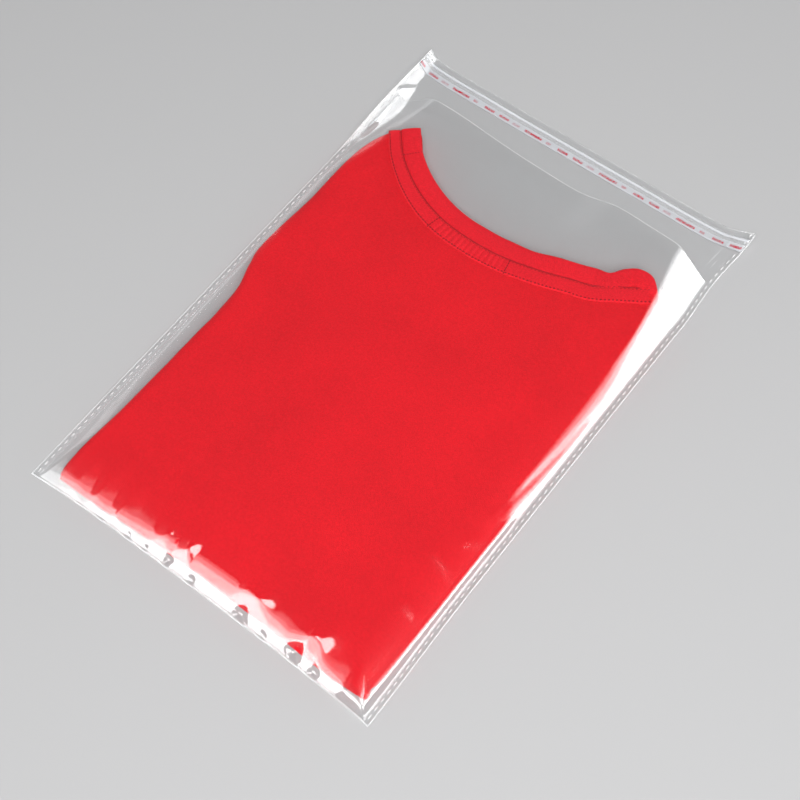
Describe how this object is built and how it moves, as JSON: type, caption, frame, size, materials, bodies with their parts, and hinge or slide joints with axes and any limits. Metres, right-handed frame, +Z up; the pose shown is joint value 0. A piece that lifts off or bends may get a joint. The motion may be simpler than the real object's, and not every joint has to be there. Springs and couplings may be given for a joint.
{
  "type": "self-seal cellophane bag",
  "caption": "Clear film bag with welded sides, an open self-seal flap with its release strip, lying filled with a folded T-shirt.",
  "frame": {"origin": "on the table under the middle of the bag's outer box", "axes": "+Y along the bag from its bottom fold to its flap, +Z up out of the table, +X across the bag"},
  "size_m": [0.252, 0.385, 0.0224],
  "materials": {
    "clear_film": "clear oriented polypropylene film, glossy",
    "adhesive": "clear pressure-sensitive adhesive",
    "release_film": "hazy release film with a broken red guide line",
    "red_jersey": "fine knit cotton jersey, matt",
    "red_rib_knit": "ribbed knit, matt"
  },
  "bodies": {
    "root": {"bag_film": "clear_film", "adhesive_strip": "adhesive", "release_strip": "release_film", "tshirt_body": "red_jersey", "neck_rib": "red_rib_knit"}
  },
  "joints": []
}
